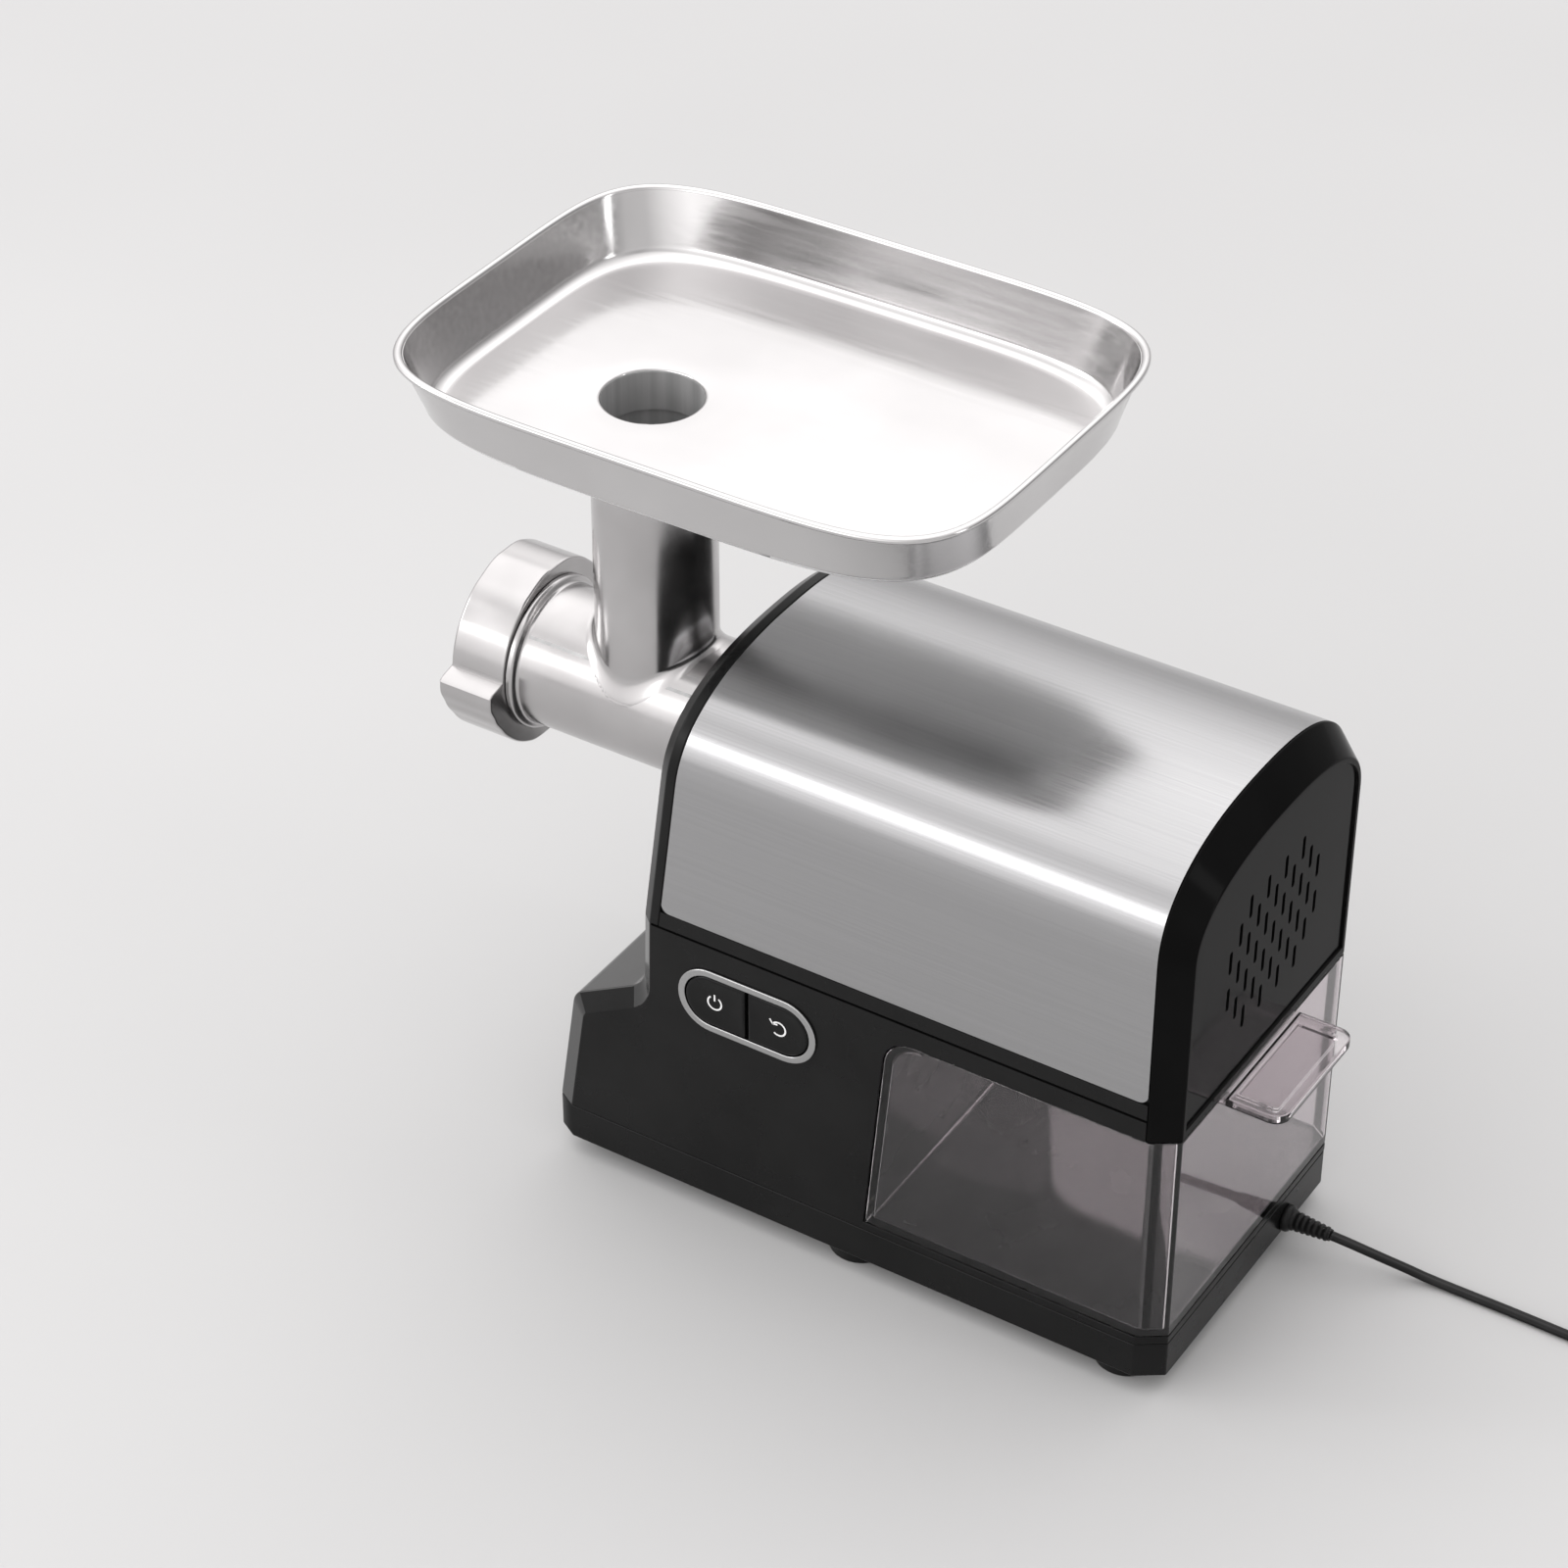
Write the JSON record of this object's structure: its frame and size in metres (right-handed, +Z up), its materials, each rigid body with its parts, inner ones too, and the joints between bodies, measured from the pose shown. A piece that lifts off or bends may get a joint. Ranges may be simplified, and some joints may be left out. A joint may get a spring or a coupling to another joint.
{
  "type": "electric meat grinder",
  "caption": "Electric meat grinder: brushed steel housing, side grinding head with winged nut, feed tray on a tall neck, clear storage drawer, six feet, trailing cord.",
  "frame": {"origin": "bottom centre of the bounding box without the cord, at the height of the feet's undersides", "axes": "+X from the grinding head's outlet to the vents at the rear, +Y away from the side with the buttons, +Z up"},
  "size_m": [0.612, 0.2245, 0.381],
  "materials": {
    "black_plastic": "satin moulded",
    "gloss_black": "gloss",
    "brushed_cover": "brushed lengthwise",
    "polished_alloy": "polished",
    "polished_steel": "polished pressed sheet",
    "cast_alloy": "as cast",
    "gear_steel": "machined",
    "copper_winding": "enamelled wire and laminations",
    "nylon": "moulded",
    "clear_plastic": "clear, faintly smoked plastic",
    "rubber": "matt",
    "board": "printed board"
  },
  "bodies": {
    "housing": {"lower_housing": "black_plastic", "base_plate": "black_plastic", "front_frame": "black_plastic", "upper_housing": "black_plastic", "power_switch": "black_plastic", "reverse_switch": "black_plastic", "cord_tie": "black_plastic", "rear_cover": "gloss_black", "steel_cover": "brushed_cover", "button_bezel": "polished_steel", "head_collar": "cast_alloy", "gearbox_case": "cast_alloy", "gearbox_cover": "cast_alloy", "motor_front_bracket": "cast_alloy", "motor_rear_bracket": "cast_alloy", "plug_pin_left": "cast_alloy", "plug_pin_right": "cast_alloy", "output_front_bearing": "gear_steel", "output_rear_bushing": "gear_steel", "intermediate_bushing": "gear_steel", "motor_front_bearing": "gear_steel", "motor_rear_bearing": "gear_steel", "motor_field": "copper_winding", "strain_relief": "rubber", "power_cord": "rubber", "cord_coil": "rubber", "plug_body": "rubber", "circuit_board": "board", "foot_front_near": "rubber", "foot_front_far": "rubber", "foot_middle_near": "rubber", "foot_middle_far": "rubber", "foot_rear_near": "rubber", "foot_rear_far": "rubber", "foot_screw_front_near": "gear_steel", "foot_screw_front_far": "gear_steel", "foot_screw_middle_near": "gear_steel", "foot_screw_middle_far": "gear_steel", "foot_screw_rear_near": "gear_steel", "foot_screw_rear_far": "gear_steel"},
    "head": {"grinder_head": "polished_alloy", "feed_neck": "polished_alloy"},
    "auger": {"auger": "cast_alloy", "knife": "polished_steel", "auger_bushing": "nylon"},
    "plate": {"grinding_plate": "cast_alloy"},
    "nut": {"ring_nut": "polished_alloy"},
    "tray": {"feed_tray": "polished_steel"},
    "drawer": {"storage_drawer": "clear_plastic"},
    "power_button": {"power_button": "black_plastic"},
    "reverse_button": {"reverse_button": "black_plastic"},
    "head_release_button": {"head_release_button": "gloss_black"},
    "output": {"output_gear": "gear_steel", "drive_shaft": "gear_steel"},
    "intermediate": {"intermediate_gear": "nylon", "intermediate_pinion": "gear_steel"},
    "rotor": {"motor_armature": "copper_winding", "motor_pinion": "gear_steel", "motor_fan": "nylon"}
  },
  "joints": [
    {"name": "output_spin", "type": "hinge", "parent": "housing", "child": "output", "pos_m": [-0.0325, -0.0157, 0.2042], "axis": [1, 0, 0], "continuous": true},
    {"name": "intermediate_spin", "type": "hinge", "parent": "housing", "child": "intermediate", "pos_m": [-0.0185, 0.0203, 0.2312], "axis": [1, 0, 0], "continuous": true},
    {"name": "rotor_spin", "type": "hinge", "parent": "housing", "child": "rotor", "pos_m": [0.0315, -0.0077, 0.2102], "axis": [1, 0, 0], "continuous": true},
    {"name": "head_slide", "type": "slide", "parent": "housing", "child": "head", "axis": [-1, 0, 0], "range_m": [0, 0.06]},
    {"name": "auger_spin", "type": "hinge", "parent": "head", "child": "auger", "pos_m": [-0.0528, -0.0157, 0.2042], "axis": [1, 0, 0], "continuous": true},
    {"name": "plate_slide", "type": "slide", "parent": "head", "child": "plate", "axis": [-1, 0, 0], "range_m": [0, 0.006]},
    {"name": "nut_turn", "type": "hinge", "parent": "plate", "child": "nut", "pos_m": [-0.201, -0.0157, 0.2042], "axis": [-1, 0, 0], "range_deg": [0, 540]},
    {"name": "tray_lift", "type": "slide", "parent": "head", "child": "tray", "axis": [0, 0, 1], "range_m": [0, 0.06]},
    {"name": "drawer_slide", "type": "slide", "parent": "housing", "child": "drawer", "axis": [1, 0, 0], "range_m": [0, 0.15]},
    {"name": "power_press", "type": "slide", "parent": "housing", "child": "power_button", "axis": [0, 1, 0], "range_m": [0, 0.002], "stiffness_N_per_m": 400},
    {"name": "reverse_press", "type": "slide", "parent": "housing", "child": "reverse_button", "axis": [0, 1, 0], "range_m": [0, 0.002], "stiffness_N_per_m": 400},
    {"name": "release_press", "type": "slide", "parent": "housing", "child": "head_release_button", "axis": [1, 0, 0], "range_m": [0, 0.004], "stiffness_N_per_m": 400}
  ],
  "couplings": [
    {"joint": "intermediate_spin", "follows": "output_spin", "ratio": -5},
    {"joint": "rotor_spin", "follows": "output_spin", "ratio": 30},
    {"joint": "auger_spin", "follows": "output_spin", "ratio": 1},
    {"joint": "plate_slide", "follows": "nut_turn", "m_per_rad": 0.00063662}
  ]
}
